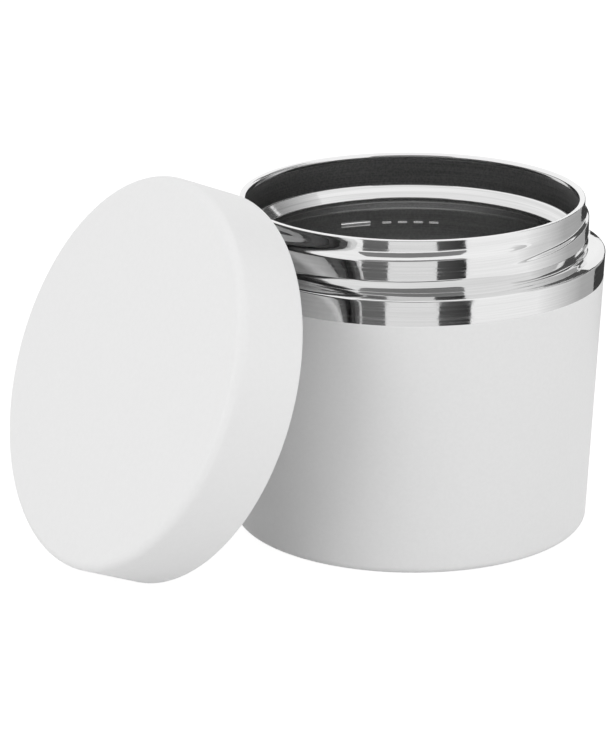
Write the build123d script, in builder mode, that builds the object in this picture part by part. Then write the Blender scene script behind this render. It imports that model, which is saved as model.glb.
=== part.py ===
from build123d import *
import math
import os

# An insulated food jar with a double steel wall, and its screw lid, which is taken off and leans
# against the jar. Millimetres. The origin is on the jar's axis, in the plane that the jar stands on.

os.makedirs("parts", exist_ok=True)

# ---------------------------------------------------------------- driving sizes of the jar
shoulder_radius = 58.5  # the widest place
shoulder_height = 85.9
shoulder_width = 6.5  # flat step from the body in to the neck
neck_height = 15.6  # from the shoulder to the top of the lip
body_taper = 4.3  # how much smaller the radius is at the ground
shell_steel = 0.6  # sheet of the outer shell and of the base
liner_steel = 0.5  # sheet of the food vessel
inside_bend = 0.2  # radius inside the tightest bends of both sheets
neck_root_round = 1.0
seam_height = 6.0  # weld between the outer shell and the base

# the mouth, from the lip down
lip_width = 1.9
lip_height = 1.3
lip_round = 0.8
seat_depth = 10.2  # from the lip down to the sealing seat
seat_width = 3.2  # the seat slopes in at 45 degrees
seat_root_round = 0.8
throat_height = 1.5
flare_drop = 3.2  # from the throat down to the full width of the vessel
flare_round = 1.2
floor_round = 9.0
vacuum_gap_top = 5.7  # between the walls, where the vessel is widest
vacuum_gap_foot = 2.9
vacuum_gap_floor = 3.8

# under the base
foot_width = 10.2
foot_round = 2.4
foot_inner_round = 1.4
recess_depth = 2.4
recess_round = 0.4
vent_radius = 1.2  # hole through which the air between the walls is drawn off
seal_clearance = 0.05
seal_radius = 2.6
seal_drop = 0.8
cover_sheet = 0.5
cover_inset = 0.5  # from the ground up to the cover
cover_clearance = 0.15
cover_round = 0.8
cover_bead_radius = 30.0  # a ring pressed up into the cover stiffens it
cover_bead_width = 8.0
cover_bead_height = 0.7
cover_bead_round = 1.5

# between the walls
foil = 0.2
foil_clearance = 0.1
foil_margin = 3.0  # bare vessel beyond the foil, above and below
getter_radius = 4.0
getter_height = 1.8
getter_offset = 24.0  # from the jar's axis
strap_sheet = 0.3
strap_width = 4.0
strap_foot = 4.0
strap_clearance = 0.1

# ---------------------------------------------------------------- driving sizes of the lid
lid_overhang = 0.1  # how far the cap stands out past the shoulder
lid_face_round = 2.6
lid_edge_round = 0.4
cap_wall = 1.6
cap_top = 1.8
cap_clearance = 0.2
skirt_gap = 0.8  # between the closed cap's edge and the shoulder
ring_recess = 0.6  # from the cap's edge up to the threaded ring
thread_room = 2.0  # between the neck and the ring's wall, at the radius
ring_lead_in = 0.8  # chamfer that guides the ring over the lip
lip_room = 1.6  # between the lip and the web of the closed lid
web_thickness = 1.5
plug_reach = 7.9  # how far the plug stands out past the cap's edge
throat_clearance = 0.9  # round the plug, at the radius
mouth_clearance = 1.5
plug_wall = 1.6
plug_floor = 1.8
plug_round = 2.5
flange_width = 4.0
flange_thickness = 2.3
groove_depth = 1.1
groove_height = 4.0
groove_below_seat = 0.2
gasket_clearance = 0.05
gasket_squeeze = 0.4  # how far the free seal stands into the seat
gasket_inset = 0.8  # from the mouth's wall to the seal
gasket_land = 0.6
foam_clearance = 0.15

# how the lid leans
lean = 22.2  # degrees from upright
lid_direction = 214.1  # degrees from +X to the way that the lid's face looks
lid_side_step = -2.5  # how far the lid stands to the side of the jar's axis
lean_clearance = 0.3

# ---------------------------------------------------------------- sizes that follow
jar_height = shoulder_height + neck_height
neck_radius = shoulder_radius - shoulder_width
foot_radius = shoulder_radius - body_taper
cone_slope = body_taper / shoulder_height
mouth_radius = neck_radius - lip_width
throat_radius = mouth_radius - seat_width
lip_bottom = jar_height - lip_height
seat_top = jar_height - seat_depth
seat_bottom = seat_top - seat_width
throat_bottom = seat_bottom - throat_height
flare_bottom = throat_bottom - flare_drop
base_top = recess_depth + shell_steel  # the base's face that looks up between the walls
vessel_floor = base_top + vacuum_gap_floor + liner_steel
recess_radius = foot_radius - foot_width
shoulder_round = shell_steel + inside_bend
throat_round = liner_steel + inside_bend


def body_radius(height):
    """Outside of the body's cone at a height."""
    return foot_radius + cone_slope * height


def vessel_radius(height):
    """Inside of the food vessel's cone at a height."""
    share = (height - vessel_floor) / (flare_bottom - vessel_floor)
    foot = body_radius(vessel_floor) - vacuum_gap_foot
    top = body_radius(flare_bottom) - vacuum_gap_top
    return foot + (top - foot) * share - shell_steel - liner_steel


def sheet(points, rounds, thickness, side):
    """Half section of a pressed sheet: a line with rounded corners, thickened to one side."""
    with BuildSketch(Plane.XZ) as section:
        with BuildLine():
            line = FilletPolyline(*points, radius=rounds)
            offset(line, amount=thickness, side=side)
        make_face()
    return section.sketch


# ---------------------------------------------------------------- the jar's walls
# The outer shell is one drawn sheet: the cone of the body, the flat shoulder and the neck.
shell_line = [
    (body_radius(seam_height), seam_height),
    (shoulder_radius, shoulder_height),
    (neck_radius, shoulder_height),
    (neck_radius, lip_bottom),
]
with BuildPart() as outer_shell:
    revolve(sheet(shell_line, [shoulder_round, neck_root_round], shell_steel, Side.LEFT))
outer_shell.part.label = "outer_shell"

# The food vessel carries the sealing seat. Its rolled lip covers the top edge of the shell.
vessel_line = [
    (mouth_radius, lip_bottom),
    (mouth_radius, seat_top),
    (throat_radius, seat_bottom),
    (throat_radius, throat_bottom),
    (vessel_radius(flare_bottom), flare_bottom),
    (vessel_radius(vessel_floor), vessel_floor),
    (0, vessel_floor),
]
vessel_rounds = [seat_root_round, throat_round, throat_round, flare_round, floor_round]
with BuildPart() as inner_liner:
    revolve(sheet(vessel_line, vessel_rounds, liner_steel, Side.LEFT))
    with BuildSketch(Plane.XZ) as lip:
        with Locations((mouth_radius, lip_bottom)):
            Rectangle(lip_width, lip_height, align=(Align.MIN, Align.MIN))
        fillet(lip.vertices().group_by(Axis.Y)[-1], lip_round)
    revolve()
inner_liner.part.label = "inner_liner"

# The base closes the shell: a foot round a shallow recess, with the evacuation hole in it.
base_line = [
    (body_radius(seam_height), seam_height),
    (foot_radius, 0),
    (recess_radius, 0),
    (recess_radius, recess_depth),
    (0, recess_depth),
]
with BuildPart() as outer_base:
    revolve(sheet(base_line, [foot_round, foot_inner_round, recess_round], shell_steel, Side.RIGHT))
    Hole(vent_radius)
outer_base.part.label = "outer_base"

# A bead of braze closes the evacuation hole from below.
bead_bottom = recess_depth - seal_drop
bead_neck = vent_radius - seal_clearance
with BuildPart() as vacuum_seal:
    with BuildSketch(Plane.XZ):
        with BuildLine():
            Polyline(
                (0, bead_bottom),
                (0, base_top),
                (bead_neck, base_top),
                (bead_neck, recess_depth),
                (seal_radius, recess_depth),
            )
            TangentArc((0, bead_bottom), (seal_radius, recess_depth), tangent=(1, 0))
        make_face()
    revolve()
vacuum_seal.part.label = "vacuum_seal"

# A pressed cover is held in the recess and hides the bead.
cover_radius = recess_radius - cover_clearance
cover_line = [
    (0, cover_inset),
    (cover_bead_radius - cover_bead_width / 2, cover_inset),
    (cover_bead_radius - cover_bead_width / 4, cover_inset + cover_bead_height),
    (cover_bead_radius + cover_bead_width / 4, cover_inset + cover_bead_height),
    (cover_bead_radius + cover_bead_width / 2, cover_inset),
    (cover_radius, cover_inset),
    (cover_radius, recess_depth - recess_round),
]
cover_rounds = [cover_bead_round] * 4 + [cover_round]
with BuildPart() as base_cover:
    revolve(sheet(cover_line, cover_rounds, cover_sheet, Side.LEFT))
base_cover.part.label = "base_cover"

# ---------------------------------------------------------------- between the walls
# Foil wrapped round the vessel sends radiant heat back.
foil_bottom = vessel_floor + floor_round + foil_margin
foil_top = flare_bottom - foil_margin
foil_gap = liner_steel + foil_clearance
with BuildPart() as heat_shield:
    with BuildSketch(Plane.XZ):
        with BuildLine():
            Polyline(
                (vessel_radius(foil_bottom) + foil_gap, foil_bottom),
                (vessel_radius(foil_bottom) + foil_gap + foil, foil_bottom),
                (vessel_radius(foil_top) + foil_gap + foil, foil_top),
                (vessel_radius(foil_top) + foil_gap, foil_top),
                close=True,
            )
        make_face()
    revolve()
heat_shield.part.label = "heat_shield"

# A getter pellet, which soaks up the last gas, stands on the base under a spot-welded strap.
getter_plane = Plane((getter_offset, 0, base_top))
with BuildPart() as getter:
    with BuildSketch(getter_plane):
        Circle(getter_radius)
    extrude(amount=getter_height)
getter.part.label = "getter"

strap_half = getter_radius + strap_clearance
strap_top = getter_height + strap_clearance
with BuildPart() as getter_clip:
    with BuildSketch(Plane(getter_plane.origin, x_dir=(1, 0, 0), z_dir=(0, -1, 0))):
        with BuildLine():
            strap = Polyline(
                (-strap_half - strap_foot, 0),
                (-strap_half, 0),
                (-strap_half, strap_top),
                (strap_half, strap_top),
                (strap_half, 0),
                (strap_half + strap_foot, 0),
            )
            offset(strap, amount=strap_sheet, side=Side.LEFT, kind=Kind.INTERSECTION)
        make_face()
    extrude(amount=strap_width / 2, both=True)
getter_clip.part.label = "getter_clip"


# ---------------------------------------------------------------- sizes of the lid that follow
def in_lid(height):
    """A height on the jar, as counted up from the edge of the closed lid's cap."""
    return height - shoulder_height - skirt_gap


lid_radius = shoulder_radius + lid_overhang
web_bottom = in_lid(jar_height) + lip_room
web_top = web_bottom + web_thickness
cap_inside = web_top + flange_thickness + cap_clearance
lid_height = cap_inside + cap_top
cap_bore = lid_radius - cap_wall
ring_radius = cap_bore - cap_clearance
ring_bore = neck_radius + thread_room
plug_radius = throat_radius - throat_clearance
plug_upper_radius = mouth_radius - mouth_clearance
flange_radius = plug_upper_radius + flange_width
web_bore = plug_upper_radius + cap_clearance
groove_radius = plug_radius - groove_depth
groove_bottom = in_lid(seat_bottom) - groove_below_seat
groove_top = groove_bottom + groove_height
plug_bore = groove_radius - plug_wall
plug_upper_bore = plug_upper_radius - plug_wall
plug_step = groove_top + plug_wall
plug_inside = plug_floor - plug_reach

# ---------------------------------------------------------------- how the lid stands
# The cap's edge stands on the ground, and the bottom of the plug leans on the rounded corner of the
# jar's shoulder, which is a ring of radius shoulder_round about a circle. A low corner meets the
# flat of the plug's bottom, and a high one meets the round at its edge.
lean_cos = math.cos(math.radians(lean))
lean_sin = math.sin(math.radians(lean))
corner_height = shoulder_height - shoulder_round
corner_radius = body_radius(corner_height) - shoulder_round * math.hypot(1, cone_slope)
edge_height = (lid_radius - lid_edge_round) * lean_cos + lid_edge_round * (1 - lean_sin)
flat_radius = plug_radius - plug_round  # the plug's flat bottom ends here
flat_to_edge = plug_reach - plug_round  # from the centre of the plug's round to the cap's edge
touch = plug_round + shoulder_round + lean_clearance  # from that centre to the corner's
round_height = edge_height + flat_radius * lean_cos - flat_to_edge * lean_sin
over = corner_height - round_height
if over < -touch * lean_sin:
    stand_off = (touch + over * lean_sin) / lean_cos
else:
    stand_off = math.sqrt(touch**2 - over**2)
edge_reach = corner_radius + flat_radius * lean_sin + flat_to_edge * lean_cos + stand_off
outward = Vector(1, 0, 0).rotate(Axis.Z, lid_direction)
sideways = Vector(0, 1, 0).rotate(Axis.Z, lid_direction)
lid_origin = outward * edge_reach + sideways * lid_side_step + Vector(0, 0, edge_height)
lid_axis = outward * lean_cos + Vector(0, 0, lean_sin)
# The lid's half section lies across from its axis, and up along it from the cap's edge.
lid_section = Plane(lid_origin, x_dir=sideways, z_dir=sideways.cross(lid_axis))
turn_axis = Axis(lid_origin, lid_axis)

# ---------------------------------------------------------------- the lid
with BuildPart() as lid_cap:
    with BuildSketch(lid_section) as cap_profile:
        with BuildLine():
            Polyline(
                (0, lid_height),
                (lid_radius, lid_height),
                (lid_radius, 0),
                (cap_bore, 0),
                (cap_bore, cap_inside),
                (0, cap_inside),
                close=True,
            )
        make_face()
        fillet(cap_profile.vertices().group_by(Axis.Y)[0], lid_edge_round)
        fillet(cap_profile.vertices().group_by(Axis.Y)[-1].sort_by(Axis.X)[-1], lid_face_round)
    revolve(axis=turn_axis)
lid_cap.part.label = "lid_cap"

# The threaded ring goes round the neck. The plug hangs from its web.
with BuildPart() as lid_ring:
    with BuildSketch(lid_section):
        with BuildLine():
            Polyline(
                (ring_radius, ring_recess),
                (ring_radius, cap_inside),
                (ring_bore, cap_inside),
                (ring_bore, web_top),
                (web_bore, web_top),
                (web_bore, web_bottom),
                (ring_bore, web_bottom),
                (ring_bore, ring_recess + ring_lead_in),
                (ring_bore + ring_lead_in, ring_recess),
                close=True,
            )
        make_face()
    revolve(axis=turn_axis)
lid_ring.part.label = "lid_ring"

# The plug is a cup with a groove for the seal. Its flange lies on the web.
with BuildPart() as lid_plug:
    with BuildSketch(lid_section) as plug_profile:
        with BuildLine():
            Polyline(
                (0, -plug_reach),
                (plug_radius, -plug_reach),
                (plug_radius, groove_bottom),
                (groove_radius, groove_bottom),
                (groove_radius, groove_top),
                (plug_upper_radius, groove_top),
                (plug_upper_radius, web_top),
                (flange_radius, web_top),
                (flange_radius, web_top + flange_thickness),
                (plug_upper_bore, web_top + flange_thickness),
                (plug_upper_bore, plug_step),
                (plug_bore, plug_step),
                (plug_bore, plug_inside),
                (0, plug_inside),
                close=True,
            )
        make_face()
        fillet(plug_profile.vertices().group_by(Axis.Y)[0].sort_by(Axis.X)[-1], plug_round)
    revolve(axis=turn_axis)
lid_plug.part.label = "lid_plug"

# Foam fills the plug.
with BuildPart() as lid_foam:
    with BuildSketch(lid_section):
        with BuildLine():
            Polyline(
                (0, plug_inside + foam_clearance),
                (plug_bore - foam_clearance, plug_inside + foam_clearance),
                (plug_bore - foam_clearance, plug_step + foam_clearance),
                (plug_upper_bore - foam_clearance, plug_step + foam_clearance),
                (plug_upper_bore - foam_clearance, cap_inside - foam_clearance),
                (0, cap_inside - foam_clearance),
                close=True,
            )
        make_face()
    revolve(axis=turn_axis)
lid_foam.part.label = "lid_foam"

# The silicone seal has a cone that meets the jar's seat all round.
gasket_bottom = groove_bottom + gasket_clearance
gasket_outer = mouth_radius - gasket_inset
gasket_foot = throat_radius + gasket_bottom - in_lid(seat_bottom) + gasket_squeeze
gasket_cone_top = gasket_bottom + gasket_outer - gasket_foot
with BuildPart() as lid_gasket:
    with BuildSketch(lid_section):
        with BuildLine():
            Polyline(
                (groove_radius + gasket_clearance, gasket_bottom),
                (gasket_foot, gasket_bottom),
                (gasket_outer, gasket_cone_top),
                (gasket_outer, gasket_cone_top + gasket_land),
                (plug_upper_radius, groove_top - gasket_clearance),
                (groove_radius + gasket_clearance, groove_top - gasket_clearance),
                close=True,
            )
        make_face()
    revolve(axis=turn_axis)
lid_gasket.part.label = "lid_gasket"

# ---------------------------------------------------------------- one file for each piece
pieces = [
    outer_shell,
    inner_liner,
    outer_base,
    vacuum_seal,
    base_cover,
    heat_shield,
    getter,
    getter_clip,
    lid_cap,
    lid_ring,
    lid_plug,
    lid_foam,
    lid_gasket,
]
for piece in pieces:
    export_step(piece.part, f"parts/{piece.part.label}.step")
    print(piece.part.label, round(piece.part.volume), "mm3")
print("lid", round(lid_height, 2), "high,", round(2 * lid_radius, 2), "across, edge centre", lid_origin)
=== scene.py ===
# %% [markdown]
# # An insulated food jar with its screw lid off
#
# The jar is two steel vessels, one in the other, with nothing but vacuum between them. They meet at the
# mouth, where the inner one is rolled over the outer one. The outside is coated white up to a line
# under the shoulder, and the neck above it is bare polished steel with a rolled thread. The lid leans
# on the jar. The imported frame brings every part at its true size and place, in metres. This lesson
# dresses it: each visible part is modelled again with its rounds, its thread and its finish.

# %% Load the frame
import math

import bpy
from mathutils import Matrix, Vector


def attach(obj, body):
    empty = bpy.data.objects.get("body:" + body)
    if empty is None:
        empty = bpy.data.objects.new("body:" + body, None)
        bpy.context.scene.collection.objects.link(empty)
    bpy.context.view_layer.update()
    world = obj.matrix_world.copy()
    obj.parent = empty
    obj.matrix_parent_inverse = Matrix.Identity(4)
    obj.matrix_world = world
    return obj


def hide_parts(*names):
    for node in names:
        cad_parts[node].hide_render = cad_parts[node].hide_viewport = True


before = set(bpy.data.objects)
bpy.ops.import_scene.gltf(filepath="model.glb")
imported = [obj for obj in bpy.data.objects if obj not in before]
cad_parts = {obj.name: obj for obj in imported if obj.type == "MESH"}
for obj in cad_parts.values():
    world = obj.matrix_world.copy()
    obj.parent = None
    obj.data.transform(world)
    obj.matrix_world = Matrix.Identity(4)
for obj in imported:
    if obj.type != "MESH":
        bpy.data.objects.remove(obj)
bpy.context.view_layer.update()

MM = 0.001  # sizes below are in millimetres, and Blender's are in metres
print("nodes in the frame:", ", ".join(sorted(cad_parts)))

# %% [markdown]
# ## The camera
#
# A long lens from a little above looks down into the mouth. The lens is long because product
# pictures are taken from a distance, so that the round rim isn't stretched. The camera is set first:
# it decides which details are worth the work.

# %% Place the camera
camera_distance = 943.5
camera_height = 351.3
camera_down = math.radians(17.896)
camera_left = math.radians(1.921)
camera_roll = math.radians(-0.118)
lens_mm = 158.54

bpy.ops.object.select_all(action="DESELECT")
bpy.ops.object.camera_add(location=(0, -camera_distance * MM, camera_height * MM))
camera = bpy.context.object
camera.name = "studio_camera"
camera.rotation_mode = "YXZ"
camera.rotation_euler = (math.pi / 2 - camera_down, 0, camera_left)
camera.rotation_mode = "XYZ"
camera.rotation_euler.rotate_axis("Z", camera_roll)
camera.data.lens = lens_mm
camera.data.sensor_width = 36
camera.data.clip_start = 0.01
bpy.context.scene.camera = camera
bpy.context.scene.view_settings.view_transform = "Standard"
print("camera turned by", [round(math.degrees(a), 3) for a in camera.rotation_euler])

# %% [markdown]
# ## Helpers for turned pieces
#
# Everything here is round, as if turned on a lathe or spun from sheet. A turned piece starts as a
# half section: one vertex, extruded from corner to corner. Corners are rounded by a vertex bevel, and
# the spin operator carries the section once round the axis. The first and the last section then lie on
# each other, so doubles are merged, and the normals are made to point outwards.

# %% Select and deselect
def all_off():
    """Leaves edit mode and deselects every object."""
    if bpy.context.object is not None and bpy.context.object.mode != "OBJECT":
        bpy.ops.object.mode_set(mode="OBJECT")
    bpy.ops.object.select_all(action="DESELECT")


def take(piece):
    """Makes one object the selected and active one."""
    all_off()
    piece.select_set(True)
    bpy.context.view_layer.objects.active = piece


def pick(piece, test, kind="VERT"):
    """Goes to edit mode with just the vertices or edges selected that pass a test in mm."""
    take(piece)
    bpy.ops.object.mode_set(mode="EDIT")
    bpy.ops.mesh.select_mode(type=kind)
    bpy.ops.mesh.select_all(action="DESELECT")
    bpy.ops.object.mode_set(mode="OBJECT")
    corners = [vertex.co / MM for vertex in piece.data.vertices]
    if kind == "VERT":
        for vertex, corner in zip(piece.data.vertices, corners):
            vertex.select = test(corner)
    if kind == "EDGE":
        for edge in piece.data.edges:
            edge.select = test(corners[edge.vertices[0]], corners[edge.vertices[1]])
    bpy.ops.object.mode_set(mode="EDIT")


# %% [markdown]
# A half section is drawn as by hand: a plane is merged to one vertex, the vertex is moved to the first
# corner, and each further corner is an extrusion. A bend in real sheet is never sharp, so corners are
# rounded. A vertex bevel is measured along the two sides of the corner, so its offset is worked out
# from the radius and from the angle between them.

# %% Draw a half section
SAME_PLACE = 1e-3  # points closer together than this, in mm, are one corner


def half_section(name, corners, closed=True):
    """A wire in the XZ plane through (radius, height) corners in mm, extruded from one vertex."""
    all_off()
    bpy.ops.mesh.primitive_plane_add(size=MM)
    wire = bpy.context.object
    wire.name = name
    wire.data.name = name
    bpy.ops.object.mode_set(mode="EDIT")
    bpy.ops.mesh.select_mode(type="VERT")
    bpy.ops.mesh.merge(type="CENTER")
    here = Vector((0, 0, 0))
    for number, (radius, height) in enumerate(corners):
        there = Vector((radius, 0, height)) * MM
        if number == 0:
            bpy.ops.transform.translate(value=there)
        else:
            bpy.ops.mesh.extrude_region_move(TRANSFORM_OT_translate={"value": there - here})
        here = there
    bpy.ops.object.mode_set(mode="OBJECT")
    if closed:
        ends = [Vector((radius, 0, height)) for radius, height in (corners[0], corners[-1])]
        pick(wire, lambda point: min((point - end).length for end in ends) < SAME_PLACE)
        bpy.ops.mesh.edge_face_add()
        bpy.ops.object.mode_set(mode="OBJECT")
    return wire


def round_corner(wire, corner, radius, steps=8):
    """Rounds the section's corner nearest to (radius, height) by a vertex bevel."""
    aim = Vector((corner[0], 0, corner[1])) * MM
    vertices = wire.data.vertices
    nearest = min(vertices, key=lambda vertex: (vertex.co - aim).length)
    arms = []
    for edge in wire.data.edges:
        if nearest.index in edge.vertices:
            other = [index for index in edge.vertices if index != nearest.index][0]
            arms.append((vertices[other].co - nearest.co).normalized())
    slide = radius / math.tan(arms[0].angle(arms[1]) / 2)
    place = nearest.co / MM
    pick(wire, lambda point: (point - place).length < SAME_PLACE)
    bpy.ops.mesh.bevel(offset=slide * MM, segments=steps, affect="VERTICES")
    bpy.ops.object.mode_set(mode="OBJECT")


# %% [markdown]
# Most pieces are sheet, of one thickness all over. One line through the corners is enough for a
# sheet: its other face runs beside it, at the thickness, and each bend has two radii that differ by
# that thickness.

# %% Draw a section of sheet
TIGHTEST_BEND = 0.15  # mm


def beside(corners, thickness):
    """The corners of a line that runs at a distance to the left of another, mitred at its corners."""
    points = [Vector(corner) for corner in corners]
    ways = [(b - a).normalized() for a, b in zip(points, points[1:])]
    sides = [Vector((-way.y, way.x)) for way in ways]
    moved = [points[0] + sides[0] * thickness]
    for point, before, after in zip(points[1:], sides, sides[1:]):
        moved.append(point + (before + after) * thickness / (1 + before.dot(after)))
    moved.append(points[-1] + sides[-1] * thickness)
    return [tuple(point) for point in moved]


def sheet_section(name, corners, thickness, rounds=(), closed=True):
    """A section of sheet. rounds are (corner's number, radius of the drawn face), widest angle last."""
    other = beside(corners, thickness)
    wire = half_section(name, list(corners) + other[::-1], closed)
    for number, radius in rounds:
        before = Vector(corners[number]) - Vector(corners[number - 1])
        after = Vector(corners[number + 1]) - Vector(corners[number])
        left_turn = before.x * after.y - before.y * after.x > 0
        other_radius = radius - thickness if left_turn else radius + thickness
        round_corner(wire, corners[number], radius)
        round_corner(wire, other[number], max(other_radius, TIGHTEST_BEND))
    return wire


# %% [markdown]
# Turning is the spin operator over a full circle. A few level cuts are made in a section first. They
# keep the shading even: without them one long face would carry the normals of a tight bend all along.

# %% Turn a half section on the axis
AROUND = 288  # sections in a full turn
WELD = 1e-6  # vertices closer together than this, in metres, are merged


def turn(wire, steps=AROUND):
    """Spins a section about the vertical axis and makes it a clean skin that faces outwards."""
    take(wire)
    bpy.ops.object.mode_set(mode="EDIT")
    bpy.ops.mesh.select_all(action="SELECT")
    bpy.ops.mesh.spin(steps=steps, angle=2 * math.pi, center=(0, 0, 0), axis=(0, 0, 1))
    bpy.ops.mesh.select_all(action="SELECT")
    bpy.ops.mesh.remove_doubles(threshold=WELD)
    bpy.ops.mesh.dissolve_degenerate(threshold=WELD)
    bpy.ops.mesh.select_all(action="SELECT")
    bpy.ops.mesh.normals_make_consistent(inside=False)
    bpy.ops.object.mode_set(mode="OBJECT")
    return wire


def support(wire, heights, test):
    """Cuts the section level at heights in mm, where a test of the radius holds, for even shading."""
    for height in heights:
        pick(wire, lambda a, b: test(a.x) and test(b.x) and (a.z - height) * (b.z - height) < 0, "EDGE")
        bpy.ops.mesh.bisect(plane_co=(0, 0, height * MM), plane_no=(0, 0, 1))
        bpy.ops.object.mode_set(mode="OBJECT")


def smooth(piece, angle=32):
    """Shades smooth, but keeps edges sharper than an angle in degrees."""
    take(piece)
    bpy.ops.object.shade_smooth_by_angle(angle=math.radians(angle))
    triangles = sum(len(face.vertices) - 2 for face in piece.data.polygons)
    size = [round(side / MM, 2) for side in piece.dimensions]
    print(piece.name, "is", size, "mm with", triangles, "triangles")


def apply(piece, kind, **settings):
    """Adds a modifier, sets it and applies it."""
    take(piece)
    modifier = piece.modifiers.new(kind.title(), kind)
    for name, value in settings.items():
        setattr(modifier, name, value)
    bpy.ops.object.modifier_apply(modifier=modifier.name)


# %% [markdown]
# ## Sizes of the jar
#
# The sizes that several pieces share are written here once, in millimetres, so that the pieces meet.
# A size that only one piece has stands in its own cell.

# %% Name the sizes
shoulder_radius = 58.5
shoulder_height = 85.9
neck_radius = 52.0
jar_height = 101.5
foot_radius = 54.2
coat_top = 77.8  # the coat ends here and the steel is bare above it
coat_thickness = 0.08
shell_steel = 0.6
liner_steel = 0.5
lip_bottom = 100.2


def body_radius(height):
    """The cone of the body at a height in mm."""
    return foot_radius + (shoulder_radius - foot_radius) * height / shoulder_height


# %% [markdown]
# ## The shell's steel: shoulder and neck
#
# The shell is drawn from one round of steel sheet. The cone turns in at a tight bend, runs flat as a
# narrow shoulder, and turns up into the neck. Here its section is one line of sheet, spun round. It
# sits a coat's thickness inside the body's surface, so that the coat's edge stands proud of it.

# %% Make the steel shell
coat_overlap = 2.0  # the steel runs on this far under the coat
flat_width = 3.7  # the flat of the shoulder, beside the neck
edge_inset = 0.1  # the bare edge lies this far inside the widest radius
edge_drop = 0.45  # beyond the flat the shoulder slopes down this much to its edge
shell_bends = [(1, 0.05), (2, 2.0), (3, 0.5)]
first_ring = 86.25
ring_step = 0.125  # fine, because the thread is pushed out of these rings
ring_count = 112
steel_around = 360


def on_neck(radius):
    """True on the outer face of the neck's wall."""
    return neck_radius - 0.3 < radius < neck_radius + 0.2


steel_low = coat_top - coat_overlap
steel_radius = body_radius(steel_low) - coat_thickness
steel_top = shoulder_height - coat_thickness
shell_line = [
    (neck_radius, lip_bottom),
    (neck_radius, steel_top),
    (neck_radius + flat_width, steel_top),
    (shoulder_radius - edge_inset, steel_top - edge_drop),
    (steel_radius, steel_low),
]
steel_shell = sheet_section("steel_shell", shell_line, -shell_steel, shell_bends)
neck_rings = [first_ring + ring_step * step for step in range(ring_count)]
support(steel_shell, [78.6, 83.8, 84.3], lambda radius: radius > neck_radius + 4)
support(steel_shell, neck_rings, on_neck)
turn(steel_shell, steel_around)
print("neck has", len(neck_rings), "rings")

# %% [markdown]
# ## The rolled thread
#
# The thread is rolled into the sheet after drawing: a wide, low ridge with a flat crest. Its upper
# flank runs out softly into the wall, and its lower flank, which holds the lid down, is straight. It
# climbs the neck and dies out at its ends. It could be swept along a helix, but then it would sit on
# the neck as a separate bar. Rolling pushes the wall itself, and so does a Displace modifier whose
# strength comes from a vertex group. The weight is worked out from each vertex's angle and height. A
# second, shorter ridge, not quite half a lead above the first, merges with it in front. Where the
# second one dies out, the first one widens upwards in its place.

# %% Weigh the thread and push it out
thread_height = 1.25
thread_lead = 6.7
lower_flank = 2.7  # over this height the lower flank falls to the wall
edge_round = 1.0  # softens the top edge of the crest
root_round = 0.12  # softens the foot of the lower flank


def ease(low, high, value):
    """0 below low, 1 above high, and a soft step between them."""
    part = min(max((value - low) / (high - low), 0), 1)
    return part * part * (3 - 2 * part)


def crest_up(along):
    """How far the long ridge's crest reaches up from its middle line, in mm, at an angle along its
    run. The crest narrows in front, widens where the short ridge ends, and narrows again behind."""
    at_first = 1.5 * (1 - ease(270, 300, along))
    widening = 2.9 * ease(302, 370, along)
    narrowing = 1.5 * ease(380, 520, along)
    return at_first + widening - narrowing


def crest_down(along):
    """How far the long ridge's crest reaches down from its middle line, in mm. It reaches further
    down for a stretch to the right of the front."""
    return 1.55 + 1.45 * ease(285, 315, along) * (1 - ease(335, 357, along))


long_ridge = {
    "start": -28,
    "end": 592,
    "base": 86.4,
    "fades": (30, 40),
    "up": crest_up,
    "down": crest_down,
    "fall": 0.25,
}
short_ridge = {
    "start": -195,
    "end": -40,
    "base": 95.92,
    "fades": (30, 22),
    "up": lambda along: 1.3,
    "down": lambda along: 3.0,
    "fall": 0.7,
}


def ridge(angle, height, start, end, base, fades, up, down, fall):
    """The weight, from 0 to 1, of a ridge that runs from a start to an end angle in degrees and fades
    in and out over two more. Its middle line has the height base at 0 degrees. Its crest reaches up
    and down from there, and its upper flank loses two thirds of its rise over the height fall."""
    gap = 1
    for turns in range(-2, 3):
        along = angle + 360 * turns
        if start < along < end:
            above = height - base - thread_lead * along / 360
            beyond = math.hypot(max(above - up(along), 0), edge_round) - edge_round
            left = 1 + min(above + down(along), 0) / lower_flank
            across = math.exp(-beyond / fall) * min((left + math.hypot(left, root_round)) / 2, 1)
            ends = ease(start, start + fades[0], along) * (1 - ease(end - fades[1], end, along))
            gap = gap * (1 - ends * across)
    return 1 - gap


def thread_weight(point):
    """How far a point of the neck, in mm, is pushed out by the two ridges."""
    angle = math.degrees(math.atan2(point.y, point.x))
    first = ridge(angle, point.z, **long_ridge)
    second = ridge(angle, point.z, **short_ridge)
    off_shoulder = ease(steel_top + 0.3, steel_top + 0.8, point.z)
    under_lip = 1 - ease(lip_bottom - 1.4, lip_bottom, point.z)
    free = off_shoulder * under_lip
    return (1 - (1 - first) * (1 - second)) * free


group = steel_shell.vertex_groups.new(name="thread")
raised = 0
for vertex in steel_shell.data.vertices:
    point = vertex.co / MM
    radius = math.hypot(point.x, point.y)
    if on_neck(radius) and point.z > steel_top:
        weight = thread_weight(point)
        if weight > 0:
            group.add([vertex.index], weight, "REPLACE")
            raised = raised + 1
apply(steel_shell, "DISPLACE", strength=thread_height * MM, mid_level=0, vertex_group="thread")
smooth(steel_shell, 60)
print("the thread moved", raised, "vertices")

# %% [markdown]
# ## The coated body
#
# The coat runs from under the shoulder down over the cone, round the foot and up into the recess. It
# is baked powder, too thin to see but for its top edge, so one sheet stands for the coat and the wall
# under it. The foot is a soft round, because the base is pressed into the shell and welded.

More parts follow.
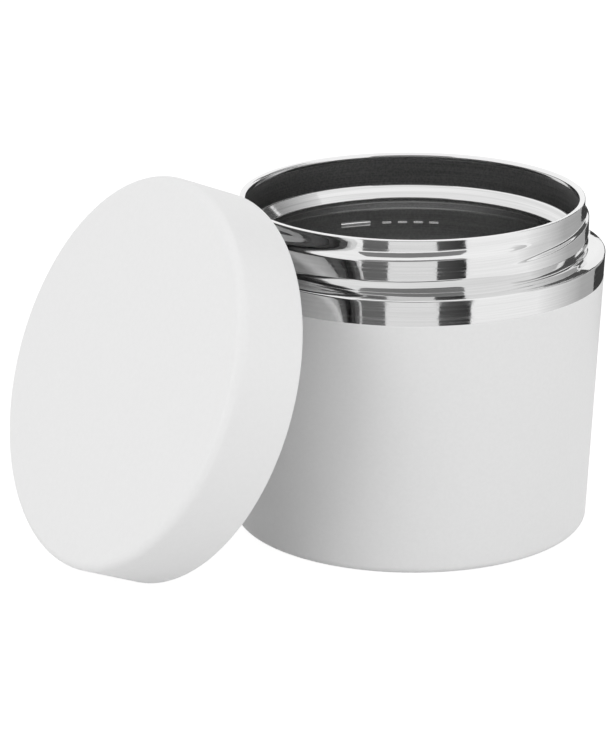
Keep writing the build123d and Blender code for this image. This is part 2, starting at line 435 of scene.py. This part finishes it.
# %% Make the coated body
recess_radius = 44.0
wall_and_coat = 0.7
foot_bends = [(1, 1.4), (2, 2.4)]
body_line = [
    (recess_radius, 2.4),
    (recess_radius, 0.0),
    (foot_radius, 0.0),
    (body_radius(coat_top), coat_top),
]
body_coat = sheet_section("body_coat", body_line, wall_and_coat, foot_bends)
support(body_coat, [3.2, 4.2, 30.0, 55.0, 77.2], lambda radius: radius > 50)
round_corner(body_coat, body_line[3], 0.06, 3)
turn(body_coat)
smooth(body_coat)

# %% [markdown]
# ## The base and its cover
#
# The base is closed by a plate in the recess. A pressed cover hides the hole through which the air
# was drawn out. A shallow ring is pressed into the cover, which keeps so thin a disc from flapping.

# %% Make the base plate and the cover
base_line = [(0, 3.0), (43.9, 3.0)]
base_plate = sheet_section("base_plate", base_line, 0.6, closed=False)
turn(base_plate)
smooth(base_plate)
cover_line = [(0, 0.5), (25.4, 0.5), (27.0, 1.2), (33.0, 1.2), (34.6, 0.5), (43.85, 0.5)]
cover_rounds = [(1, 1.5), (2, 1.5), (3, 1.5), (4, 1.5)]
base_cover = sheet_section("pressed_cover", cover_line, 0.5, cover_rounds, closed=False)
turn(base_cover)
smooth(base_cover)

# %% [markdown]
# ## The food vessel
#
# The inner vessel is spun from thinner sheet. At the mouth it is rolled out over the neck as a round
# lip. Under the lip the wall is straight, then it slopes in at 45 degrees: that narrow slope is the
# seat on which the lid's seal presses. Below the seat it opens out again to the wide vessel.

# %% Make the food vessel
vessel_floor = 7.3
floor_radius = 50.62
wall_top = 83.4  # the wall widens a little from the floor to here, where it turns in to the throat
wall_top_radius = 51.57
throat_radius = 46.9
mouth_radius = 50.1
vessel_line = [
    (0, vessel_floor),
    (floor_radius, vessel_floor),
    (wall_top_radius, wall_top),
    (throat_radius, 86.6),
    (throat_radius, 88.1),
    (mouth_radius, 91.3),
    (mouth_radius, jar_height),
    (neck_radius, jar_height),
    (neck_radius, lip_bottom),
]
vessel_rounds = [(1, 9.0), (2, 1.2), (3, 0.7), (4, 0.5), (5, 0.8), (6, 0.85), (7, 0.3)]
food_vessel = sheet_section("food_vessel", vessel_line, -liner_steel, vessel_rounds)
support(food_vessel, [22.0, 50.0, 70.0, 81.2, 82.0], lambda radius: radius > 46)
support(food_vessel, [92.4, 93.0, 99.9], lambda radius: 49 < radius < 51)
turn(food_vessel)
smooth(food_vessel)

# %% [markdown]
# ## The fill mark
#
# A short raised bar on the wall shows how high the jar may be filled: above it the closed lid's plug
# would press the food out. A row of short, thin dashes carries it on. Each is a low bar with rounded
# edges that follows the wall, so its section is spun through a few degrees.

# %% Make the fill mark
sunk = 0.2  # the back of a bar lies this deep in the wall, so that no gap shows


def wall_bar(name, angle, span, height, half_height, proud):
    """A raised bar on the vessel's wall, with its middle at an angle and a span in degrees."""
    widening = wall_top_radius - floor_radius
    wall = floor_radius + widening * (height - vessel_floor) / (wall_top - vessel_floor)
    inner = wall - proud
    outer = wall + sunk
    low = height - half_height
    high = height + half_height
    bar = half_section(name, [(outer, low), (inner, low), (inner, high), (outer, high)])
    edge = proud * 0.9
    round_corner(bar, (inner, low), edge, 4)
    round_corner(bar, (inner, high), edge, 4)
    take(bar)
    bpy.ops.object.mode_set(mode="EDIT")
    bpy.ops.mesh.select_all(action="SELECT")
    bpy.ops.mesh.edge_face_add()
    steps = max(4, int(span * 2))
    wide = math.radians(span)
    first = math.radians(angle) + wide / 2
    bpy.ops.transform.rotate(value=-first, orient_axis="Z", center_override=(0, 0, 0))
    bpy.ops.mesh.spin(steps=steps, angle=wide, center=(0, 0, 0), axis=(0, 0, 1))
    bpy.ops.mesh.select_all(action="SELECT")
    bpy.ops.mesh.remove_doubles(threshold=WELD)
    bpy.ops.mesh.normals_make_consistent(inside=False)
    bpy.ops.object.mode_set(mode="OBJECT")
    return bar


mark_height = 78.8
dash_count = 4
first_dash = 99.0  # degrees
dash_pitch = 5.6
bars = [wall_bar("fill_mark", 110.5, 11.0, mark_height, half_height=0.85, proud=0.6)]
for number in range(dash_count):
    angle = first_dash - dash_pitch * number
    bars.append(wall_bar("dash", angle, 3.2, mark_height, half_height=0.4, proud=0.4))
all_off()
for bar in bars:
    bar.select_set(True)
bpy.context.view_layer.objects.active = bars[0]
bpy.ops.object.join()
fill_mark = bars[0]
smooth(fill_mark)

# %% [markdown]
# ## The lid
#
# The lid is four pieces: a moulded cap, a ring with the thread inside it, a plug, and a rubber seal
# in the plug's groove. All four are turned upright on the jar's axis first, with the cap's edge at
# height 0, because that is where spinning is easy. They are laid against the jar at the end.

# %% Make the cap
cap_radius = 58.6
cap_height = 22.2
cap_bore = 57.0
cap_ceiling = 20.4
cap_section = [
    (0, cap_height),
    (cap_radius, cap_height),
    (cap_radius, 0),
    (cap_bore, 0),
    (cap_bore, cap_ceiling),
    (0, cap_ceiling),
]
lid_shell = half_section("lid_shell", cap_section, closed=False)
round_corner(lid_shell, (cap_radius, cap_height), 2.6, 12)
round_corner(lid_shell, (cap_radius, 0), 0.7, 6)
round_corner(lid_shell, (cap_bore, 0), 0.4, 4)
support(lid_shell, [1.2, 18.9], lambda radius: radius > 58)
turn(lid_shell)
smooth(lid_shell)

# %% [markdown]
# The ring's thread has to run in the valleys of the neck's thread, so it has the same lead and is
# narrower. It is pushed in from the bore in the same way as the neck's thread was pushed out.

# %% Make the threaded ring
ring_radius = 56.8
ring_bore = 54.0
web_bore = 48.8  # the web is the flat inner rim that carries the plug
web_low = 16.4
web_high = 17.9
ring_thread_height = 1.2
ring_thread_base = 3.4  # the height of its middle line at 0 degrees
ring_section = [
    (ring_radius, 0.6),
    (ring_radius, 20.3),
    (ring_bore, 20.3),
    (ring_bore, web_high),
    (web_bore, web_high),
    (web_bore, web_low),
    (ring_bore, web_low),
    (ring_bore, 1.4),
    (54.8, 0.6),
]
thread_ring = half_section("thread_ring", ring_section)
round_corner(thread_ring, (ring_bore, web_low), 0.8, 4)
bore_rings = [1.6 + 0.25 * step for step in range(40)]
support(thread_ring, bore_rings, lambda radius: radius < 54.4)
turn(thread_ring)


def ring_thread_weight(point):
    """How far a point of the ring's bore, in mm, is pushed in."""
    angle = math.degrees(math.atan2(point.y, point.x))
    weight = 0
    for turns in (0, 1):
        along = angle + 360 * turns
        middle = ring_thread_base + thread_lead * along / 360
        across = 1 - ease(0.5, 1.3, abs(point.z - middle))
        ends = ease(0, 18, along) * (1 - ease(322, 340, along))
        weight = max(weight, across * ends)
    return weight


group = thread_ring.vertex_groups.new(name="thread")
for vertex in thread_ring.data.vertices:
    point = vertex.co / MM
    if math.hypot(point.x, point.y) < 54.1 and 1.5 < point.z < 11.5:
        group.add([vertex.index], ring_thread_weight(point), "REPLACE")
apply(thread_ring, "DISPLACE", strength=ring_thread_height * MM, mid_level=0, vertex_group="thread")
smooth(thread_ring, 40)

# %% [markdown]
# The plug is a closed cup full of foam, which keeps the warmth in where the jar has no vacuum. Its
# bottom edge is well rounded, so that it finds the throat. The seal is a rubber ring with a cone that
# meets the seat.

# %% Make the plug and the seal
plug_radius = 46.0
plug_bottom = -7.9
groove_radius = 44.9
groove_low = 1.2
groove_high = 5.2
plug_section = [
    (0, plug_bottom),
    (plug_radius, plug_bottom),
    (plug_radius, groove_low),
    (groove_radius, groove_low),
    (groove_radius, groove_high),
    (48.6, groove_high),
    (48.6, 17.95),
    (52.6, 17.95),
    (52.6, 20.2),
    (47.0, 20.2),
    (47.0, 6.8),
    (43.3, 6.8),
    (43.3, -6.1),
    (0, -6.1),
]
plug_cup = half_section("plug_cup", plug_section, closed=False)
round_corner(plug_cup, (plug_radius, plug_bottom), 2.5, 12)
round_corner(plug_cup, (plug_radius, groove_low), 0.3, 3)
support(plug_cup, [-4.8, 0.4], lambda radius: 45.5 < radius < 46.5)
turn(plug_cup)
smooth(plug_cup)

seal_section = [(44.95, 1.25), (47.15, 1.25), (49.3, 3.4), (49.3, 4.0), (48.6, 5.15), (44.95, 5.15)]
seal_ring = half_section("seal_ring", seal_section)
round_corner(seal_ring, (47.15, 1.25), 0.25, 4)
round_corner(seal_ring, (49.3, 3.4), 0.3, 4)
round_corner(seal_ring, (49.3, 4.0), 0.3, 4)
turn(seal_ring)
smooth(seal_ring, 50)

# %% [markdown]
# ## Lay the lid against the jar
#
# The lid stands on its edge, leans back against the shoulder and turns its face up towards the eye.
# The meshes themselves are turned and moved, so that every object's origin stays at the jar's foot.

# %% Move the lid's pieces
lean = math.radians(22.2)
lid_direction = math.radians(214.1)
lid_origin = Vector((-67.6599, -42.7901, 54.1345)) * MM  # the middle of the cap's open edge
lid_pieces = [lid_shell, thread_ring, plug_cup, seal_ring]
for piece in lid_pieces:
    take(piece)
    bpy.ops.object.mode_set(mode="EDIT")
    bpy.ops.mesh.select_all(action="SELECT")
    bpy.ops.transform.rotate(value=-(math.pi / 2 - lean), orient_axis="Y", center_override=(0, 0, 0))
    bpy.ops.transform.rotate(value=-lid_direction, orient_axis="Z", center_override=(0, 0, 0))
    bpy.ops.transform.translate(value=lid_origin)
    bpy.ops.object.mode_set(mode="OBJECT")
    corners = [vertex.co for vertex in piece.data.vertices]
    low = [round(min(corner[axis] for corner in corners) / MM, 2) for axis in range(3)]
    high = [round(max(corner[axis] for corner in corners) / MM, 2) for axis in range(3)]
    print(piece.name, "now spans", low, high)

# %% [markdown]
# ## Materials
#
# Every finish is made from nodes. A node's output is wrapped, so that it can stand in a sum as a
# number does: `height * 3 + 0.2` makes the two Math nodes. One method makes any other node.

# %% Wrap node sockets
class Wire:
    """A node's output that can be used in sums."""

    def __init__(self, tree, socket):
        self.tree = tree
        self.socket = socket

    def node(self, kind, settings=None, values=None, output=0):
        """Makes any shader node: settings come first, then its inputs get values or links."""
        made = self.tree.nodes.new("ShaderNode" + kind)
        for name, setting in (settings or {}).items():
            setattr(made, name, setting)
        for name, value in (values or {}).items():
            if isinstance(value, Wire):
                self.tree.links.new(value.socket, made.inputs[name])
            else:
                made.inputs[name].default_value = value
        return Wire(self.tree, made.outputs[output])

    def sum(self, operation, a, b):
        """A Math node on two values."""
        return self.node("Math", {"operation": operation}, {0: a, 1: b})

    def __add__(self, other):
        return self.sum("ADD", self, other)

    def __radd__(self, other):
        return self.sum("ADD", other, self)

    def __sub__(self, other):
        return self.sum("SUBTRACT", self, other)

    def __rsub__(self, other):
        return self.sum("SUBTRACT", other, self)

    def __mul__(self, other):
        return self.sum("MULTIPLY", self, other)

    def __rmul__(self, other):
        return self.sum("MULTIPLY", other, self)

    def or_larger(self, other):
        """The larger of two values. On masks it means either."""
        return self.sum("MAXIMUM", self, other)

    def step(self, low, high, start=0.0, end=1.0):
        """A soft step: start below low, end above high."""
        limits = {1: low, 2: high, 3: start, 4: end}
        return self.node("MapRange", {"interpolation_type": "SMOOTHSTEP"}, {0: self, **limits})

    def blend(self, first, second):
        """A colour between two, by this factor."""
        return self.node("Mix", {"data_type": "RGBA"}, {0: self, 6: first, 7: second}, 2)


# %% [markdown]
# Every finish starts alike: a material with its Principled shader, and the object's own coordinates,
# in metres. A pattern made from those keeps its true size and stays on a piece that moves.

# %% Start a material
def grey(level):
    """A neutral colour."""
    return (level, level, level, 1)


def finish_named(name, **constants):
    """A material with a Principled shader. Returns the material, its shader and the object's place."""
    material = bpy.data.materials.new(name)
    material.use_nodes = True
    tree = material.node_tree
    shader = tree.nodes["Principled BSDF"]
    for socket, value in constants.items():
        shader.inputs[socket.replace("_", " ").title()].default_value = value
    coordinates = tree.nodes.new("ShaderNodeTexCoord")
    return material, shader, Wire(tree, coordinates.outputs["Object"])


def drive(shader, socket, wire):
    """Links a wire to one of the shader's sockets."""
    wire.tree.links.new(wire.socket, shader.inputs[socket])


def noise(place, scale, detail=2.0, roughness=0.5):
    """A noise of so many waves per metre."""
    values = {"Vector": place, "Scale": scale, "Detail": detail, "Roughness": roughness}
    return place.node("TexNoise", {}, values)


def bump(shader, height, strength, distance):
    """Turns a height, from 0 to 1, into a bump of a depth in mm."""
    values = {"Height": height, "Strength": strength, "Distance": distance * MM}
    drive(shader, "Normal", height.node("Bump", {}, values))


def part_of(place, output):
    """The x, y or z of the object's place, in metres."""
    return place.node("SeparateXYZ", {}, {0: place}, output)


def stretched(place, sides, up):
    """The object's place, scaled more along its axis than round it. Lathe marks come out as rings."""
    settings = {"operation": "MULTIPLY"}
    return place.node("VectorMath", settings, {0: place, 1: (sides, sides, up)})


# %% [markdown]
# The coat is powder, baked till it flows together. It stays slightly uneven, like very fine orange
# peel, so its highlight is broad and soft.

# %% White coat
white_coat, shader, place = finish_named("white_coat", roughness=0.48)
shader.inputs["Specular IOR Level"].default_value = 0.35
mottle = noise(place, 900, 3)
drive(shader, "Base Color", mottle.step(0.3, 0.7).blend(grey(0.80), grey(0.815)))
drive(shader, "Roughness", mottle.step(0.3, 0.7, 0.46, 0.52))
bump(shader, noise(place, 1400, 2), 0.25, 0.03)

# %% [markdown]
# The neck is buffed to a mirror. Buffing follows the turning jar, so the faint lines left in it are
# rings: a noise squeezed along the axis. A coarser one makes streaks that are a little duller, and a
# slow one makes waves, so that reflections bend as they do in rolled sheet.

# %% Polished steel
polished_steel, shader, place = finish_named("polished_steel", metallic=1.0)
rings = noise(stretched(place, 30, 9000), 1.0, 2)
streaks = noise(stretched(place, 22, 1900), 1.0, 3, 0.6)
waves = noise(stretched(place, 280, 450), 1.0, 1)
drive(shader, "Base Color", streaks.step(0.25, 0.75).blend(grey(0.79), grey(0.87)))
drive(shader, "Roughness", streaks.step(0.35, 0.72, 0.035, 0.13))
bump(shader, rings * 0.02 + streaks * 0.035 + waves, 0.5, 0.03)

# %% [markdown]
# The vessel's inside is left satin, with fine rings from spinning, and only the lip, the seat and the
# bend under the throat are polished. Height tells them apart. The wall looks darker than bare steel
# is, because it mostly mirrors the dark inside of the jar, and its colour is painted dark as well:
# painted shade, darkest on the upper wall. The floor and the low wall are painted bright instead:
# painted light from the mouth above.

# %% Vessel steel
vessel_steel, shader, place = finish_named("vessel_steel", metallic=1.0)
height = part_of(place, 2)  # in metres
on_seat = height.step(0.0876, 0.0880) * (1 - height.step(0.0913, 0.0916))
on_lip = height.step(0.0996, 0.1000)
on_bend = height.step(0.0832, 0.0838) * (1 - height.step(0.0862, 0.0868))
polished = on_seat.or_larger(on_lip).or_larger(on_bend)
polish = 0.26  # polished steel is smoother by this much
rings = noise(stretched(place, 25, 4200), 1.0, 3)
grain = rings.step(0.25, 0.75) * 0.6 + noise(place, 1500, 2).step(0.35, 0.65) * 0.4
# painted shade: the upper wall gets a dark colour for the dark inside of the jar that it mirrors
wall_painted_shading = grain.blend(grey(0.14), grey(0.28))
deep_wall_painted_shading = grain.blend(grey(0.23), grey(0.37))
# painted light: the floor and the low wall are painted bright, for light falling in from the mouth
deep_wall_painted_shading = height.step(0.066, 0.076).blend(grey(0.82), deep_wall_painted_shading)  # the floor and the low wall are bright
wall_painted_shading = height.step(0.0868, 0.0880).blend(deep_wall_painted_shading, wall_painted_shading)
turned = noise(stretched(place, 14, 1500), 1.0, 2).step(0.3, 0.7).blend(grey(0.70), grey(0.84))
drive(shader, "Base Color", polished.blend(wall_painted_shading, on_lip.blend(turned, grey(0.86))))
drive(shader, "Roughness", polished * -polish + rings.step(0.2, 0.8, 0.31, 0.38))
bump(shader, rings, 0.10, 0.02)

# %% [markdown]
# The fill mark stands proud of the wall. It is the same steel, painted lighter than the other steel
# as a painted highlight, and it stands out the more because the wall round it is painted dark.

# %% Rubbed steel
# painted highlight: the mark's steel colour is lighter than that of the rest of the steel
mark_steel_painted_highlight, shader, place = finish_named("mark_steel_painted_highlight", metallic=1.0, roughness=0.22)
scuffs = noise(place, 1200, 2)
drive(shader, "Base Color", scuffs.step(0.3, 0.7).blend(grey(0.90), grey(0.97)))
bump(shader, scuffs, 0.3, 0.04)

# %% [markdown]
# The cap is moulded in white plastic in a finely textured tool, so it is a little glossier than the
# coat. The plug is a plain light grey moulding, and the ring and the silicone seal are nearly black.
# All four are made alike: a faint mottle in the grey, and the grain of the tool as bump.

# %% Plastics and rubber
def moulding(name, roughness, mottle, greys, grain, strength, specular=0.5):
    """A moulded finish. mottle is the scale and detail of its mottle, greys its darkest and lightest,
    grain the scale of the tool's texture and strength that of its bump."""
    material, shader, place = finish_named(name, roughness=roughness)
    shader.inputs["Specular IOR Level"].default_value = specular
    patches = noise(place, *mottle)
    drive(shader, "Base Color", patches.step(0.3, 0.7).blend(grey(greys[0]), grey(greys[1])))
    bump(shader, noise(place, grain, 2), strength, 0.02)
    return material


cap_white = moulding("cap_white", 0.40, (700, 2), (0.83, 0.84), 1800, 0.12, specular=0.4)
inner_plastic = moulding("inner_plastic", 0.38, (500, 3), (0.70, 0.73), 1500, 0.15)
ring_plastic = moulding("ring_plastic", 0.45, (500, 3), (0.09, 0.11), 1500, 0.15)
rubber = moulding("rubber", 0.55, (600, 3), (0.11, 0.13), 2500, 0.2)

# %% [markdown]
# The pieces between the walls keep the shapes that came with the frame. They are out of sight, but
# each still gets its own finish: crinkled foil, a braze bead, a grey alloy pellet, yellowish foam.

# %% Hidden finishes
foil, shader, place = finish_named("foil", metallic=1.0)
crinkle = place.node("TexVoronoi", {"feature": "DISTANCE_TO_EDGE"}, {"Vector": place, "Scale": 160})
drive(shader, "Base Color", crinkle.step(0.0, 0.3).blend(grey(0.78), grey(0.88)))
drive(shader, "Roughness", crinkle.step(0.0, 0.3, 0.34, 0.22))
bump(shader, crinkle, 0.35, 0.3)

braze, shader, place = finish_named("braze", metallic=1.0, roughness=0.35)
tarnish = noise(place, 900, 3).step(0.3, 0.7)
drive(shader, "Base Color", tarnish.blend((0.62, 0.56, 0.44, 1), (0.7, 0.64, 0.5, 1)))

alloy, shader, place = finish_named("alloy", metallic=0.6, roughness=0.6)
drive(shader, "Base Color", noise(place, 1600, 4).step(0.3, 0.7).blend(grey(0.2), grey(0.32)))

foam, shader, place = finish_named("foam", roughness=0.9)
cells = place.node("TexVoronoi", {}, {"Vector": place, "Scale": 1100})
drive(shader, "Base Color", cells.step(0.1, 0.7).blend((0.78, 0.72, 0.55, 1), (0.6, 0.54, 0.4, 1)))
bump(shader, cells, 0.4, 0.2)

# %% [markdown]
# Each piece wears one finish. What it came with is cleared first. The base plate wears the coat too,
# because the coat runs on into the recess, and only the cover in it is bare.

# %% Put the finishes on
dressed = {
    steel_shell: polished_steel,
    body_coat: white_coat,
    base_plate: white_coat,
    base_cover: polished_steel,
    food_vessel: vessel_steel,
    fill_mark: mark_steel_painted_highlight,
    lid_shell: cap_white,
    thread_ring: ring_plastic,
    plug_cup: inner_plastic,
    seal_ring: rubber,
    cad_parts["heat_shield"]: foil,
    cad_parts["vacuum_seal"]: braze,
    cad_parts["getter"]: alloy,
    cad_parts["getter_clip"]: polished_steel,
    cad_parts["lid_foam"]: foam,
}
for piece, material in dressed.items():
    piece.data.materials.clear()
    piece.data.materials.append(material)
    print(piece.name, "has", material.name)

# %% [markdown]
# ## Which piece stands for which part
#
# Each piece moves with the body that it belongs to and stands for a part of the frame, which is then
# hidden.

# %% Tie the pieces to the frame
for piece in (steel_shell, body_coat, base_plate, base_cover, food_vessel, fill_mark):
    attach(piece, "jar")
for piece in lid_pieces:
    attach(piece, "lid")

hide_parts("outer_shell")
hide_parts("outer_shell", "outer_base")
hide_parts("outer_base")
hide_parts("base_cover")
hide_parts("inner_liner")
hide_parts("inner_liner")
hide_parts("lid_cap")
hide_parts("lid_ring")
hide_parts("lid_plug")
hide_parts("lid_gasket")

# %% [markdown]
# ## Floor, backdrop and light
#
# The floor and the world are white to the camera, to reflections and through glass. Light Path tells
# those rays apart, so the white background adds no light to the jar itself. The floor keeps a share
# of a plain diffuse finish, which holds the shadow.

# %% Make the floor
floor_size = 12  # metres, so that its edge is out of sight
floor_drop = 0.00005  # metres, so that the foot and the floor don't share a plane
floor_glow = 1.28
glow_share = 0.72  # the rest is the plain finish


def seen_directly(tree):
    """1 for camera, glossy and transmission rays, and then 1 for glossy rays alone."""
    path = tree.nodes.new("ShaderNodeLightPath")
    camera_ray = Wire(tree, path.outputs["Is Camera Ray"])
    glossy_ray = Wire(tree, path.outputs["Is Glossy Ray"])
    through_ray = Wire(tree, path.outputs["Is Transmission Ray"])
    return camera_ray.or_larger(glossy_ray).or_larger(through_ray), glossy_ray


all_off()
bpy.ops.mesh.primitive_plane_add(size=floor_size, location=(0, 0, -floor_drop))
floor = bpy.context.object
floor.name = "floor"
floor_paint = bpy.data.materials.new("floor_paint")
floor_paint.use_nodes = True
tree = floor_paint.node_tree
tree.nodes.clear()
direct, in_mirrors = seen_directly(tree)
plain = direct.node("BsdfDiffuse", {}, {"Color": grey(0.82)})
glow = direct.node("Emission", {}, {"Color": grey(1.0), "Strength": floor_glow})
mirrored = direct.node("Emission", {}, {"Color": grey(0.96), "Strength": 1.0})
mixed = direct.node("MixShader", {}, {0: direct * glow_share, 1: plain, 2: glow})
mixed = direct.node("MixShader", {}, {0: in_mirrors, 1: mixed, 2: mirrored})
output = tree.nodes.new("ShaderNodeOutputMaterial")
tree.links.new(mixed.socket, output.inputs["Surface"])
floor.data.materials.append(floor_paint)

# %% [markdown]
# The world is the white room. It lights the jar softly from all round, and the camera and the steel
# see it as plain white.

# %% Make the world
room_light = 0.86
world = bpy.context.scene.world or bpy.data.worlds.new("studio")
bpy.context.scene.world = world
world.use_nodes = True
tree = world.node_tree
tree.nodes.clear()
direct = seen_directly(tree)[0]
soft = direct.node("Background", {}, {"Color": grey(1.0), "Strength": room_light})
white = direct.node("Background", {}, {"Color": grey(1.0), "Strength": 1.0})
mixed = direct.node("MixShader", {}, {0: direct, 1: soft, 2: white})
output = tree.nodes.new("ShaderNodeOutputWorld")
tree.links.new(mixed.socket, output.inputs["Surface"])

# %% [markdown]
# Two wide soft lamps stand in front and above, one to the right and one to the left. The left one is
# the stronger: the lid's face looks that way and comes out bright. Neither shows in reflections:
# polished steel mirrors the white room and the flags instead.

# %% Place the lamps
lamp_size = 900
aim_height = 50  # about the middle of the jar


def lamp(name, place, size, watts):
    """A square soft lamp that looks at the jar's middle and doesn't show in reflections."""
    all_off()
    bpy.ops.object.light_add(type="AREA", location=Vector(place) * MM)
    made = bpy.context.object
    made.name = name
    made.data.size = size * MM
    made.data.energy = watts
    aim = Vector((0, 0, aim_height)) * MM - made.location
    made.rotation_euler = aim.to_track_quat("-Z", "Y").to_euler()
    made.visible_glossy = False
    return made


key = lamp("key_lamp", (1000, -600, 600), lamp_size, watts=1.9)
fill = lamp("fill_lamp", (-900, -900, 500), lamp_size, watts=2.5)

# %% [markdown]
# Polished steel is nothing but what it reflects. Photographers stand dark flags round it, because
# without them a mirror in a white room is a white patch with no form. The camera looks down, so the
# upright wall of the neck mirrors the low flags near the jar. Faces that look up, such as the upper
# flank of the thread, mirror the high ones further off. All of them show in reflections only.

# %% Stand up the flags
def flag(name, angles, distance, heights, levels):
    """A card round part of the jar, in degrees right of the camera's side, grey from left to right."""
    all_off()
    first = Vector((math.sin(math.radians(angles[0])), -math.cos(math.radians(angles[0])), 0))
    second = Vector((math.sin(math.radians(angles[1])), -math.cos(math.radians(angles[1])), 0))
    width = (second - first).length * distance
    middle = (first + second) / 2 * distance
    middle.z = sum(heights) / 2
    bpy.ops.mesh.primitive_plane_add(size=1, location=middle * MM)
    card = bpy.context.object
    card.name = name
    card.scale = (width * MM, (heights[1] - heights[0]) * MM, 1)
    card.rotation_euler = (math.pi / 2, 0, math.atan2(middle.x, -middle.y))
    paint = bpy.data.materials.new(name + "_paint")
    paint.use_nodes = True
    tree = paint.node_tree
    tree.nodes.clear()
    coordinates = tree.nodes.new("ShaderNodeTexCoord")
    across = part_of(Wire(tree, coordinates.outputs["UV"]), 0)
    glow = across.node("Emission", {}, {"Color": across.blend(grey(levels[0]), grey(levels[1]))})
    output = tree.nodes.new("ShaderNodeOutputMaterial")
    tree.links.new(glow.socket, output.inputs["Surface"])
    card.data.materials.append(paint)
    card.visible_camera = False
    card.visible_diffuse = False
    card.visible_transmission = False
    card.visible_shadow = False
    print(name, "stands at", [round(c) for c in middle], "mm")
    return card


# name, angles in degrees, distance and heights in mm, grey at its left and at its right end
cards = [
    ("flag_left", (-28.3, -13.3), 225, (0, 88), (0.14, 0.15)),
    ("flag_centre", (-13.3, 14.2), 232, (0, 88), (0.80, 0.80)),
    ("flag_right", (14.2, 31.1), 225, (0, 88), (0.09, 0.035)),
    ("side_near", (72, 90), 225, (0, 110), (0.94, 0.70)),
    ("side_middle", (90, 109), 225, (0, 110), (0.70, 0.45)),
    ("side_far", (109, 139), 225, (0, 110), (0.45, 0.38)),
    ("behind_low", (126, 140), 215, (0, 29), (0.05, 0.05)),
    ("behind", (138, 158), 205, (0, 115), (0.05, 0.05)),
    ("room_front", (-32, 32), 320, (110, 350), (0.23, 0.23)),
    ("room_right_near", (66, 96), 320, (155, 270), (0.90, 0.15)),
    ("room_right", (96, 126), 320, (155, 270), (0.12, 0.09)),
    ("room_far_right", (126, 142), 320, (145, 270), (0.09, 0.09)),
    ("room_high", (98, 150), 320, (270, 480), (0.95, 0.10)),
    ("room_behind", (142, 166), 320, (225, 275), (0.09, 0.07)),
]
flags = [flag(*card) for card in cards]
